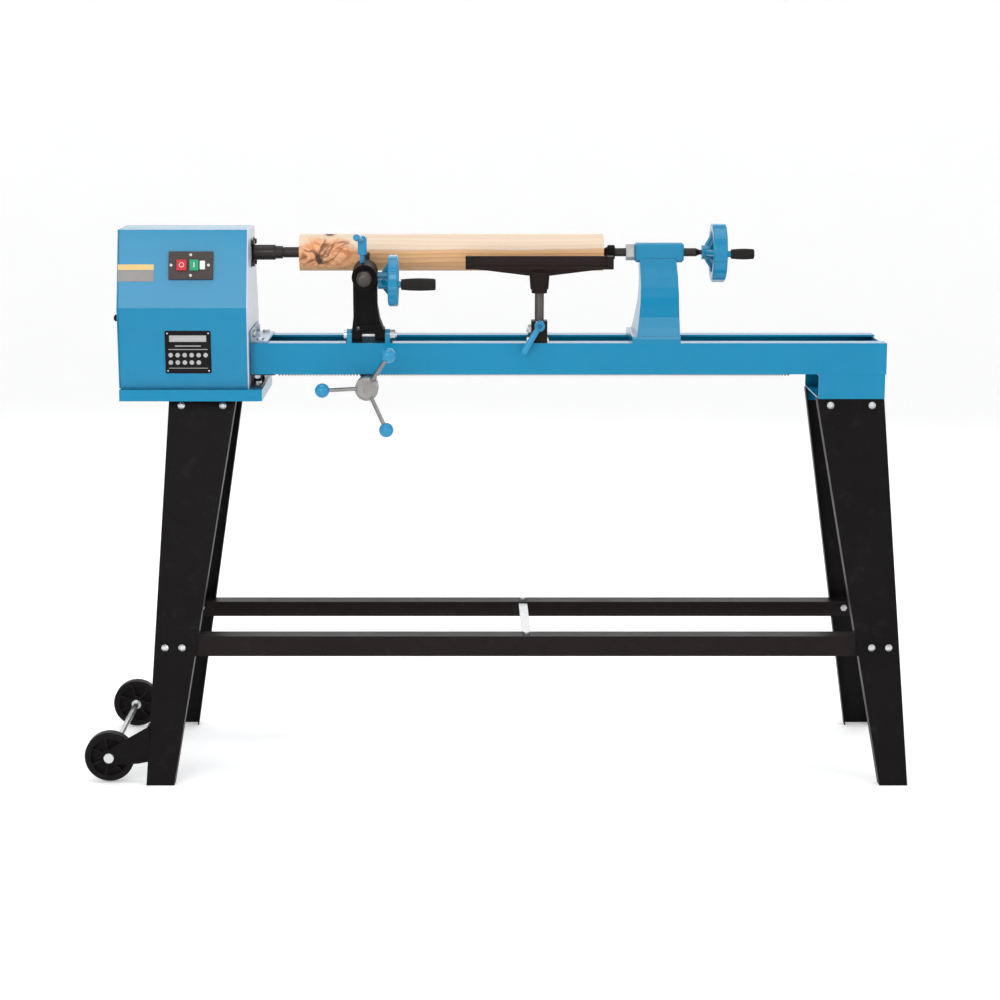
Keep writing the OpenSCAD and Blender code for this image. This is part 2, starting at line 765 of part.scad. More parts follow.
module stop_button() { color("#c3202f") push_button(0); }
module start_button() { color("#15895a") push_button(1); }

module cable_gland() {
    color(black) translate([head_left + 105, back_y - 2.2, 815]) rotate([-90, 0, 0]) {
        translate([0, 0, -3]) cylinder(d = 22, h = 3, $fn = 6);
        difference() {
            union() {
                translate([0, 0, -1]) cylinder(d = 16, h = 6);
                translate([0, 0, 2.4]) cylinder(d = 24, h = 6, $fn = 6);
                translate([0, 0, 8.4]) cylinder(d1 = 19, d2 = 13, h = 10);
            }
            translate([0, 0, 4]) cylinder(d = 8, h = 20);
        }
    }
}

// ---- Levers, wheels and grips shared by the carriage, rest and tailstock ----

// Adjustable clamping lever standing on Z, its arm turned to a heading and raised
module clamp_lever(d, z0, z1, reach, heading, raise, stud_d, stud_z) {
    difference() {
        union() {
            rod_z(z0, z1, d, 0, 0);
            rod_z(z1, z1 + 3, d - 5, 0, 0);
            rod_z(stud_z, z0 + 1, stud_d, 0, 0);
            translate([0, 0, z1 - 7]) rotate([0, 0, heading]) rotate([0, -raise, 0]) rotate([0, 90, 0]) {
                cylinder(d1 = 11, d2 = 14, h = reach);
                translate([0, 0, reach]) sphere(d = 14);
            }
        }
        rod_z(z1 - 1, z1 + 4, d - 11, 0, 0);
    }
}

// Handwheel on the X axis: hub, three dished spokes and a thick rim with finger bumps
module handwheel(d, hub_d, hub_len, rim_x, rim_w, bore, grip_r, stud_len) {
    rim_t = d * 0.14;
    bump = 3.2;
    mid = d / 2 - bump / 2 - rim_t / 2;
    rise = rim_x + rim_w / 2 - hub_len / 2;
    run = mid - hub_d / 2 + 6;
    rotate([0, 90, 0]) {
        difference() {
            union() {
                cylinder(d = hub_d, h = hub_len);
                translate([0, 0, rim_x]) rotate_extrude() translate([mid, rim_w / 2]) offset(r = 4)
                    square([rim_t - 8, rim_w - 8], center = true);
                for (i = [0:8]) rotate(i * 40) translate([d / 2 - 8, 0, rim_x + 2.5])
                    cylinder(r = 8, h = rim_w - 5);
                for (i = [0:2]) rotate(i * 120 - 90) translate([hub_d / 2 - 6, 0, hub_len / 2])
                    rotate([0, atan2(run, rise), 0]) cylinder(d = 13, h = norm([run, rise]));
            }
            translate([0, 0, -1]) cylinder(d = bore, h = hub_len + rim_w + rim_x);
        }
        translate([0, -grip_r, rim_x + rim_w / 2]) cylinder(d = 8, h = rim_w / 2 + stud_len);
        translate([0, -grip_r, rim_x + rim_w / 2]) cylinder(d = 13, h = rim_w / 2 + 5.5);
    }
}

// Barrel-shaped grip on the X axis
module grip(d, length) {
    rotate([0, 90, 0]) difference() {
        rotate_extrude() polygon(concat([[0, 0]],
            [for (i = [0:10]) [d / 2 * (0.78 + 0.22 * sin(20 + 125 * i / 10)), length * i / 10]],
            [[d / 2 * 0.74, length + 1.5], [0, length + 1.5]]));
        translate([0, 0, -1]) cylinder(d = 8 + 2 * fit, h = length - 3);
    }
}

// ---- Tool carriage ----

module carriage_saddle() {
    lug_r = 12;
    color(blue) difference() {
        union() {
            box(saddle_x0, saddle_x1, -70, 60, bed_top, saddle_top);
            box(saddle_x0 + 6, saddle_x1 - 6, -gap_y + gap, gap_y - gap, bed_top - 9, bed_top + 1);
            for (x = [lug_left, lug_right - lug_t]) along_x(x, x + lug_t) {
                translate([pin_y, pin_z]) circle(r = lug_r);
                translate([pin_y - lug_r, bed_top]) square([lug_r + 22, pin_z - bed_top]);
            }
            box(feed_x - 16, feed_x + 16, -50, -20, feed_z, bed_top);
            rod_y(-50, -20, 32, feed_x, feed_z);
        }
        rod_y(-52, -18, 14 + 2 * fit, feed_x, feed_z);
        rod_x(lug_left - 1, lug_right + 1, pin_d + hole, pin_y, pin_z);
    }
}

// Cross shaft with the pinion that climbs along the rack
module feed_shaft() {
    color(steel) {
        rod_y(-152, -12, 14, feed_x, feed_z);
        rod_y(-19, -13, 24, feed_x, feed_z);
        translate([feed_x, 0, feed_z]) along_y(-74, -58) pinion_outline(feed_m, feed_teeth, 0.25);
    }
}

spoke_angles = [58, 178, 298];
spoke_root = 12;
spoke_tilt = 35;
ball_r = 86;
spoke_len = (ball_r - spoke_root) / cos(spoke_tilt);

module spoke_frame(angle) {
    translate([feed_x, -143, feed_z]) rotate([0, -angle, 0]) translate([spoke_root, 0, 0])
        rotate([0, 0, -spoke_tilt]) rotate([0, 90, 0]) children();
}

module capstan() {
    color(zinc) difference() {
        union() {
            rod_y(-150, -118, 47, feed_x, feed_z);
            rod_y(-153, -149, 36, feed_x, feed_z);
            for (a = spoke_angles) spoke_frame(a) cylinder(d = 8, h = spoke_len);
        }
        rod_y(-154, -117, 14 + 2 * fit, feed_x, feed_z);
    }
}

module capstan_balls() {
    color(blue) for (a = spoke_angles) spoke_frame(a) translate([0, 0, spoke_len]) difference() {
        sphere(d = 29);
        translate([0, 0, -16]) cylinder(d = 8 + hole, h = 16.5);
    }
}

module arm_pin() {
    color(zinc) {
        rod_x(lug_left - 1, lug_right + 13, pin_d, pin_y, pin_z);
        rod_x(lug_left - 6, lug_left, 20, pin_y, pin_z);
        translate([lug_right, pin_y, pin_z]) rotate([0, 90, 0]) cylinder(d = 22, h = 2);
        translate([lug_right + 2, pin_y, pin_z]) rotate([0, 90, 0]) cylinder(d = 21, h = 8, $fn = 6);
    }
}

// The arm's own frame, leaning about the pin
module arm_frame() {
    translate([0, pin_y, pin_z]) rotate([arm_lean, 0, 0]) translate([0, -pin_y, -pin_z]) children();
}

foot_x0 = lug_left + lug_t + 0.5;
foot_x1 = lug_right - lug_t - 0.5;

module tool_arm() {
    front_y = -106;
    rear_y = -72;
    knuckle = 12.5;
    shoulder_z = bar_z + 2;
    color(black) arm_frame() difference() {
        union() {
            for (x = [[foot_x0, foot_x0 + 20], [foot_x1 - 20, foot_x1]]) along_x(x[0], x[1]) {
                translate([pin_y, pin_z]) circle(r = knuckle);
                translate([pin_y - knuckle, pin_z]) square([2 * knuckle, 14]);
            }
            along_y(front_y, rear_y) polygon([
                [foot_x0, pin_z + 8], [arm_x - 24, pin_z + 40], [arm_x - 24, shoulder_z],
                [arm_x + 24, shoulder_z], [arm_x + 24, pin_z + 62], [arm_x + 29, pin_z + 32],
                [foot_x1, pin_z + 8]]);
            rod_y(boss_y0, boss_y1, boss_d, arm_x, bar_z);
            rod_y(front_y, rear_y, boss_d, arm_x, bar_z);
            rod_x(arm_x + 10, arm_x + 25, 27, drive_y, drive_z);
        }
        along_y(front_y - 1, front_y + 4) offset(r = 4) polygon([
            [arm_x - 15, pin_z + 26], [arm_x - 15, bar_z - 36], [arm_x + 15, bar_z - 36],
            [arm_x + 18, pin_z + 26]]);
        rod_y(front_y - 1, rear_y + 1, 8, arm_x - 15, pin_z + 16);
        rod_y(boss_y0 - 1, boss_y1 + 1, bar_d + 2 * fit, arm_x, bar_z);
        rod_x(arm_x - 8, arm_x + 26, 15, drive_y, drive_z);
        rod_x(arm_x - 23, arm_x, 8 + 2 * fit, drive_y, drive_z);
        rod_z(bar_z + 10, bar_z + 30, 10 + 2 * fit, arm_x - 4.5, -105);
        rod_x(foot_x0 - 1, foot_x1 + 1, pin_d + 2 * fit, pin_y, pin_z);
    }
}

rack_start = drive_y - 10 * PI * bar_m;
bar_end = -42;
nose_z = bar_z + 29;

// Sliding bar with its rack underneath and a turning tool standing on its inner end
module tool_bar() {
    flat_z = bar_rack_z + 2 * bar_m;
    color(steel) arm_frame() {
        difference() {
            union() {
                rod_y(-160, bar_end, bar_d, arm_x, bar_z);
                translate([arm_x, -160, bar_z]) rotate([90, 0, 0]) cylinder(d1 = bar_d, d2 = bar_d - 9, h = 5);
                translate([arm_x, -165, bar_z]) rotate([90, 0, 0])
                    cylinder(d1 = bar_d - 9, d2 = bar_d - 20, h = 2);
            }
            box(arm_x - bar_d, arm_x + bar_d, rack_start, bar_end + 1, bar_z - bar_d, flat_z);
        }
        translate([0, rack_start, bar_rack_z - bar_m]) along_x(arm_x - 6, arm_x + 6)
            rack_outline(bar_m, 20, 1.25 * bar_m + 3);
        box(arm_x - 8, arm_x + 8, bar_end - 10, bar_end, bar_z, nose_z + 4);
        translate([arm_x - 6, 0, 0]) along_x(0, 12) polygon([
            [bar_end - 1, nose_z - 5], [bar_end + 8.4, nose_z + 2.5], [bar_end + 8.4, nose_z + 4],
            [bar_end - 1, nose_z + 4]]);
    }
}

module arm_lever() {
    color(blue) arm_frame() translate([arm_x - 4.5, -105, 0])
        clamp_lever(18, bar_z + 41, bar_z + 75, 42, 256, 18, 10, bar_z + 17);
}

module arm_handwheel() {
    color(blue) arm_frame() {
        translate([arm_wheel_x, drive_y, drive_z])
            handwheel(arm_wheel_d, 34, 20.5, 20, 21, 10.02, arm_grip_r, 66);
        rod_x(arm_x + 8, arm_x + 24.5, 15 - 2 * fit, drive_y, drive_z);
        rod_x(arm_x + 24, arm_wheel_x + 20, 12, drive_y, drive_z);
        rod_x(arm_x - 18, arm_x + 10, 8, drive_y, drive_z);
        translate([arm_x - 6, drive_y, drive_z]) rotate([90, 0, 90]) linear_extrude(14.5)
            pinion_outline(bar_m, bar_teeth, 0.2);
    }
}

module arm_grip() {
    color(black) arm_frame() translate([arm_wheel_x + 47, drive_y - arm_grip_r, drive_z]) grip(25, 67);
}

// ---- Tool rest ----

bolt_x = rest_x;
bolt_y = -14;

module rest_clamp() {
    color(zinc) {
        difference() {
            box(bolt_x - 22, bolt_x + 22, -rail_y + 18, rail_y - 18, bed_top - 14, bed_top - rail_t - 0.4);
            rod_z(bed_top - 20, bed_top, clamp_bolt_d - 0.02, bolt_x, bolt_y);
        }
        rod_z(bed_top - 14, banjo_z + 16, clamp_bolt_d, bolt_x, bolt_y);
        rod_z(bed_top - 22, bed_top - 14, 20, bolt_x, bolt_y);
        rod_z(banjo_z, banjo_z + 2, 26, bolt_x, bolt_y);
        translate([bolt_x, bolt_y, banjo_z + 2]) cylinder(d = 22, h = 10, $fn = 6);
        translate([rest_x - 16, rest_y, 903]) rotate([0, -90, 0]) cylinder(d = 21, h = 7, $fn = 6);
        rod_x(rest_x - 26, rest_x - 10.5, 8, rest_y, 903);
    }
}

module rest_banjo() {
    color(black) difference() {
        union() {
            box(rest_x - 16, rest_x + 16, -96, -60, bed_top, socket_top);
            box(rest_x - 16, rest_x + 16, -62, 30, bed_top, banjo_z);
            rod_z(bed_top, banjo_z, 32, rest_x, 30);
        }
        rod_z(bed_top + 22, socket_top + 1, post_d + 2 * fit, rest_x, rest_y);
        rod_y(-97, rest_y, 8 + 2 * fit, rest_x, bed_top + 36);
        rod_x(rest_x - 17, rest_x, 8 + hole, rest_y, 903);
        rod_z(bed_top - 1, banjo_z + 1, clamp_bolt_d + 1, bolt_x, bolt_y);
        rod_z(bed_top - 1, banjo_z + 1, clamp_bolt_d + 1, bolt_x, bolt_y + 26);
        box(bolt_x - 6.5, bolt_x + 6.5, bolt_y, bolt_y + 26, bed_top - 1, banjo_z + 1);
    }
}

module rest_post() { color(steel) rod_z(bed_top + 24, rest_top - 46, post_d, rest_x, rest_y); }

// Tool rest: a ledge with end blocks, deepening to a tapered column
module tool_rest() {
    half = rest_len / 2;
    low = rest_top - 26;
    foot = rest_top - 74;
    color(black) difference() {
        union() {
            intersection() {
                along_y(rest_y - 12, rest_y + 14) polygon([
                    [rest_x - half, rest_top], [rest_x + half, rest_top], [rest_x + half, low + 1],
                    [rest_x + half * 0.74, low - 2], [rest_x + 20, low - 13], [rest_x + 18, foot + 8],
                    [rest_x - 18, foot + 8], [rest_x - 20, low - 13], [rest_x - half * 0.74, low - 2],
                    [rest_x - half, low + 1]]);
                along_x(rest_x - half, rest_x + half) polygon([
                    [rest_y - 7, foot], [rest_y - 7, rest_top - 18], [rest_y - 3, rest_top],
                    [rest_y + 5, rest_top], [rest_y + 9, rest_top - 18], [rest_y + 7, foot]]);
            }
            for (x = [rest_x - half, rest_x + half - 12])
                box(x, x + 12, rest_y - 12, rest_y + 14, low, rest_top);
            box(rest_x - half, rest_x + half, rest_y - 12, rest_y, low, low + 5);
            translate([rest_x, rest_y, foot]) cylinder(d1 = 31, d2 = 39, h = 42);
        }
        rod_z(foot - 1, rest_top - 45, post_d + 2 * fit, rest_x, rest_y);
    }
}

module banjo_lever() {
    color(blue) translate([rest_x, 0, bed_top + 36]) rotate([90, 0, 0])
        clamp_lever(21, 98, 122, 60, 239, 0, 8, 88);
}

// ---- Tailstock ----

function flare(t) = 22 + 70 * pow(1 - t, 1.9);

module tailstock() {
    base_z = bed_top + 12;
    neck_z = spindle_z - 12;
    steps = 8;
    z_at = [for (i = [0:steps]) base_z - 2 + (neck_z - base_z + 2) * i / steps];
    color(blue) difference() {
        union() {
            along_x(tail_x, tail_x + 97) polygon([
                [-rail_y, bed_top], [rail_y, bed_top], [rail_y, base_z - 4], [rail_y - 4, base_z],
                [4 - rail_y, base_z], [-rail_y, base_z - 4]]);
            intersection() {
                along_x(tail_x, tail_x + 110) polygon(concat(
                    [for (i = [0:steps]) [-flare(i / steps), z_at[i]]],
                    [for (i = [steps:-1:0]) [flare(i / steps), z_at[i]]]));
                along_y(-rail_y, rail_y) polygon([
                    [tail_x + 9, base_z - 3], [tail_x + 14, base_z + 25], [tail_x + 19, base_z + 62],
                    [tail_x + 20.5, base_z + 100], [tail_x + 18, neck_z], [tail_x + 92, neck_z],
                    [tail_x + 96, base_z + 116], [tail_x + 97.5, base_z + 80], [tail_x + 96.5, base_z - 3]]);
            }
            along_x(barrel_x0 + 3, barrel_x1 - 3) translate([0, spindle_z]) offset(r = 9)
                square(barrel_d - 18, center = true);
            along_x(barrel_x0, barrel_x1) translate([0, spindle_z]) offset(r = 9)
                square(barrel_d - 24, center = true);
            for (x = [tail_x + 4, tail_x + 74])
                box(x, x + 18, -gap_y + gap, gap_y - gap, bed_top - 9, bed_top + 1);
        }
        rod_x(barrel_x0 - 1, barrel_x1 + 1, screw_d + 2 * fit, 0, spindle_z);
        rod_z(bed_top - 1, bed_top + 22, clamp_bolt_d + hole, tail_x + 48, 0);
    }
}

module tail_clamp() {
    color(zinc) {
        difference() {
            box(tail_x + 27, tail_x + 69, -rail_y + 18, rail_y - 18, bed_top - 14, bed_top - rail_t - 0.4);
            rod_z(bed_top - 20, bed_top, clamp_bolt_d + hole, tail_x + 48, 0);
        }
        rod_z(bed_top - 15, bed_top + 20, clamp_bolt_d, tail_x + 48, 0);
        translate([tail_x + 48, 0, bed_top - 23]) cylinder(d = 22, h = 9, $fn = 6);
    }
}

module lock_nut() {
    color("#d5d6d4") difference() {
        translate([nut_x0, 0, spindle_z]) rotate([0, 90, 0]) cylinder(d = 33, h = 16.6, $fn = 6);
        rod_x(nut_x0 - 1, nut_x0 + 18, screw_d + 4 * fit, 0, spindle_z);
    }
}

// Housing in which the revolving centre turns
module centre_bearing() {
    color(black) difference() {
        union() {
            rod_x(centre_x - 14.4, centre_x - 1, 29.7, 0, spindle_z);
            rod_x(centre_x - 1, centre_x, 27, 0, spindle_z);
        }
        rod_x(centre_x - 15, centre_x + 1, 12 + 2 * fit, 0, spindle_z);
    }
}

module live_centre() {
    tip_x = blank_x1 - 10;
    shoulder_x = centre_x - 15;
    color(steel) {
        cone_x(tip_x, shoulder_x, 1, 1 + 1.2 * (shoulder_x - tip_x), 0, spindle_z);
        rod_x(shoulder_x - 0.5, centre_x - 8, 12, 0, spindle_z);
    }
}

module tail_screw() {
    color(iron) {
        rod_x(centre_x - 7.4, centre_x + 1, 12, 0, spindle_z);
        rod_x(centre_x + 0.4, tail_hub_x - 12, screw_d, 0, spindle_z);
        cone_x(tail_hub_x - 12, tail_hub_x - 4, screw_d, 10, 0, spindle_z);
        rod_x(tail_hub_x - 4.5, tail_hub_x + 19, 10, 0, spindle_z);
    }
}

module tail_handwheel() {
    color(blue) translate([tail_hub_x, 0, spindle_z])
        handwheel(tail_wheel_d, 29, 18, 19.5, 29, 10 + hole / 2, tail_grip_r, 44);
}

module tail_grip() {
    color(black) translate([tail_hub_x + 55, -tail_grip_r, spindle_z]) grip(22, 45);
}

leg_front_left();
leg_front_right();
leg_rear_left();
leg_rear_right();
stretcher_front();
stretcher_rear();
stretcher_spacer();
stand_bolts();
wheel_brackets();
wheel_axle();
wheel_front();
wheel_rear();
bed_rail_front();
bed_rail_rear();
bed_riser();
bed_gusset();
bed_clamp_plate();
bed_bolts();
feed_rack();
headstock_tray();
headstock_cover();
headstock_end_panel();
belt_door();
door_latch();
spindle_frame();
bearing_cap();
spindle();
spindle_pulley();
motor();
motor_rotor();
drive_belt();
drive_centre();
blank();
switch_plate();
stop_button();
start_button();
cable_gland();
carriage_saddle();
feed_shaft();
capstan();
capstan_balls();
arm_pin();
tool_arm();
tool_bar();
arm_lever();
arm_handwheel();
arm_grip();
rest_clamp();
rest_banjo();
rest_post();
tool_rest();
banjo_lever();
tailstock();
tail_clamp();
lock_nut();
centre_bearing();
live_centre();
tail_screw();
tail_handwheel();
tail_grip();
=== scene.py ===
import math

import bmesh
import bpy
from mathutils import Matrix, Vector


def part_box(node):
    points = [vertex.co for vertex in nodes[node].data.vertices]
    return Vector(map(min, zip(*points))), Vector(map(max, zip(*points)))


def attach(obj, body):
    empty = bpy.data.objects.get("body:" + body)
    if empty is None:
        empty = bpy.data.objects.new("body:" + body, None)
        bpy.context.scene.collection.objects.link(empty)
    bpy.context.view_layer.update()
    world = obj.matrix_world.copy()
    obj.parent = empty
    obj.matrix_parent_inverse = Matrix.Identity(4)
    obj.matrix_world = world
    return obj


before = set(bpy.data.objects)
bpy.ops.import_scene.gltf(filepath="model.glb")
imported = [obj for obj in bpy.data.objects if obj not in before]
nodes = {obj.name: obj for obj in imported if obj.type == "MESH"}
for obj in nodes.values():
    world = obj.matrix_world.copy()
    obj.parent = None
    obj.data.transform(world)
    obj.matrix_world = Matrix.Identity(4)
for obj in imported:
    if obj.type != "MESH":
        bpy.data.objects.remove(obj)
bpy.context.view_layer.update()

# ---------------------------------------------------------------- node-tree helpers


class Shader:
    """A material whose nodes are added by short calls."""

    def __init__(self, name):
        self.material = bpy.data.materials.new(name)
        self.material.use_nodes = True
        self.tree = self.material.node_tree
        self.bsdf = self.tree.nodes["Principled BSDF"]
        self.coords = self.add("ShaderNodeTexCoord").outputs["Object"]

    def add(self, kind, **values):
        node = self.tree.nodes.new(kind)
        for key, value in values.items():
            setattr(node, key, value)
        return node

    def link(self, source, socket):
        if hasattr(source, "is_output"):
            self.tree.links.new(source, socket)
        else:
            socket.default_value = source

    def fixed(self, **values):
        for key, value in values.items():
            self.bsdf.inputs[key.replace("_", " ")].default_value = value

    def scaled(self, scale, offset=(0, 0, 0), turn=(0, 0, 0)):
        node = self.add("ShaderNodeMapping")
        self.link(self.coords, node.inputs["Vector"])
        node.inputs["Location"].default_value = offset
        node.inputs["Rotation"].default_value = turn
        node.inputs["Scale"].default_value = scale
        return node.outputs["Vector"]

    def noise(self, scale, detail=4.0, rough=0.55, vector=None, warp=0.0):
        node = self.add("ShaderNodeTexNoise")
        self.link(vector if vector is not None else self.coords, node.inputs["Vector"])
        node.inputs["Scale"].default_value = scale
        node.inputs["Detail"].default_value = detail
        node.inputs["Roughness"].default_value = rough
        node.inputs["Distortion"].default_value = warp
        return node.outputs["Fac"]

    def math(self, operation, a, b=0.0, c=0.0):
        node = self.add("ShaderNodeMath", operation=operation)
        for socket, value in zip(node.inputs, (a, b, c)):
            self.link(value, socket)
        return node.outputs["Value"]

    def span(self, value, low, high, to_low=0.0, to_high=1.0):
        node = self.add("ShaderNodeMapRange")
        node.clamp = True
        sockets = ("Value", "From Min", "From Max", "To Min", "To Max")
        for key, item in zip(sockets, (value, low, high, to_low, to_high)):
            self.link(item, node.inputs[key])
        return node.outputs["Result"]

    def blend(self, factor, a, b, mode="MIX"):
        node = self.add("ShaderNodeMix", data_type="RGBA", blend_type=mode)
        self.link(factor, node.inputs[0])
        for value, socket in ((a, node.inputs[6]), (b, node.inputs[7])):
            self.link(rgba(value) if isinstance(value, (tuple, list)) else value, socket)
        return node.outputs[2]

    def bump(self, height, strength, distance, normal=None):
        node = self.add("ShaderNodeBump")
        node.inputs["Strength"].default_value = strength
        node.inputs["Distance"].default_value = distance
        self.link(height, node.inputs["Height"])
        if normal is not None:
            self.link(normal, node.inputs["Normal"])
        return node.outputs["Normal"]

    def rounded(self, radius):
        node = self.add("ShaderNodeBevel")
        node.samples = 4
        node.inputs["Radius"].default_value = radius
        return node.outputs["Normal"]

    def edges(self, radius):
        """1 along edges and 0 on open faces."""
        dot = self.add("ShaderNodeVectorMath", operation="DOT_PRODUCT")
        self.link(self.rounded(radius), dot.inputs[0])
        self.link(self.add("ShaderNodeNewGeometry").outputs["Normal"], dot.inputs[1])
        return self.span(dot.outputs["Value"], 0.985, 0.80)

    def shade_in_hollows(self, distance):
        """Mask for painted shade: 0 on open faces, rising to 1 deep in channels and corners."""
        node = self.add("ShaderNodeAmbientOcclusion")
        node.samples = 8
        node.inputs["Distance"].default_value = distance
        return self.span(node.outputs["AO"], 0.72, 0.25)

    def finish(self, colour, rough, normal):
        self.link(colour, self.bsdf.inputs["Base Color"])
        self.link(rough, self.bsdf.inputs["Roughness"])
        self.link(normal, self.bsdf.inputs["Normal"])
        return self.material


def rgba(colour):
    return (*colour, 1.0) if len(colour) == 3 else tuple(colour)


def shade(colour, factor):
    return tuple(min(1.0, c * factor) for c in colour)


DUST = (0.42, 0.42, 0.40)
BARE_EDGE = (0.34, 0.35, 0.37)
EDGE_RADIUS = 0.0012


def painted(name, colour, gloss=0.20, peel=0.10, coat=0.20, wear=0.35, worn=BARE_EDGE):
    """Sprayed paint: orange peel, faint mottling, dust, painted shade in channels and corners, and wear
    along the edges.
    """
    s = Shader(name)
    s.fixed(Coat_Weight=coat, Coat_Roughness=0.10, Specular_IOR_Level=0.20)
    mottle = s.noise(6.0, 3.0)
    dust = s.span(s.noise(30.0, 7.0, 0.65), 0.50, 0.80)
    base = s.blend(s.span(mottle, 0.3, 0.7), shade(colour, 0.97), shade(colour, 1.03))
    base = s.blend(s.math("MULTIPLY", dust, 0.018), base, DUST)
    # Painted shade: the colour darkens towards a shaded blue deep in channels and corners, from ambient
    # occlusion.
    base = s.blend(s.math("MULTIPLY", s.shade_in_hollows(0.10), 0.75), base, shade(colour, 0.22))
    chip = s.span(s.noise(160.0, 5.0, 0.7), 0.54, 0.62)
    edge = s.math("MULTIPLY", s.edges(EDGE_RADIUS), s.math("MULTIPLY", chip, wear))
    base = s.blend(edge, base, worn)
    rough = s.math("ADD", s.math("MULTIPLY", dust, 0.03), gloss)
    rough = s.math("ADD", rough, s.math("MULTIPLY", edge, 0.2))
    grain = s.bump(s.noise(420.0, 2.0), peel, 0.0006, s.rounded(EDGE_RADIUS))
    return s.finish(base, rough, grain)


def textured(name, colour, rough=0.42, grain=520.0, depth=0.25, dusty=0.05, coat=0.0, level=0.06,
             worn=(0.10, 0.10, 0.10), rub=0.30, soft=EDGE_RADIUS):
    """Powder coat, casting skin or moulded plastic: a fine grain, a little dust, and rubbed edges."""
    s = Shader(name)
    s.fixed(Coat_Weight=coat, Coat_Roughness=0.25, Specular_IOR_Level=level)
    cloud = s.span(s.noise(9.0, 5.0), 0.3, 0.7)
    fine = s.noise(grain, 3.0, 0.6)
    base = s.blend(cloud, shade(colour, 0.90), shade(colour, 1.12))
    base = s.blend(s.span(fine, 0.35, 0.70, 0.0, 0.25), base, shade(colour, 1.6))
    dust = s.span(s.noise(34.0, 8.0, 0.7), 0.55, 0.85)
    base = s.blend(s.math("MULTIPLY", dust, dusty), base, (0.24, 0.22, 0.20))
    edge = s.math("MULTIPLY", s.edges(soft), rub)
    base = s.blend(edge, base, worn)
    roughness = s.math("ADD", s.math("MULTIPLY", cloud, 0.08), rough)
    roughness = s.math("ADD", roughness, s.math("MULTIPLY", dust, 0.12))
    return s.finish(base, roughness, s.bump(fine, depth, 0.0008, s.rounded(soft)))


def metal(name, colour, rough=0.3, lay=(1.0, 1.0, 1.0), scale=700.0, depth=0.12, stain=0.25,
          tint=(0.25, 0.22, 0.19)):
    """Bare or plated metal with tool marks that run across the lay, and light tarnish."""
    s = Shader(name)
    s.fixed(Metallic=1.0)
    marks = s.noise(scale, 2.0, 0.6, s.scaled(lay))
    tarnish = s.span(s.noise(30.0, 8.0, 0.7), 0.45, 0.75)
    base = s.blend(s.span(marks, 0.3, 0.7), shade(colour, 0.86), shade(colour, 1.08))
    base = s.blend(s.math("MULTIPLY", tarnish, stain), base, tint)
    bright = s.math("MULTIPLY", s.edges(0.0008), 0.5)
    base = s.blend(bright, base, shade(colour, 1.35))
    streaks = s.span(marks, 0.3, 0.7, rough - 0.06, rough + 0.06)
    roughness = s.math("ADD", s.math("MULTIPLY", tarnish, 0.22), streaks)
    return s.finish(base, roughness, s.bump(marks, depth, 0.0004, s.rounded(0.0008)))


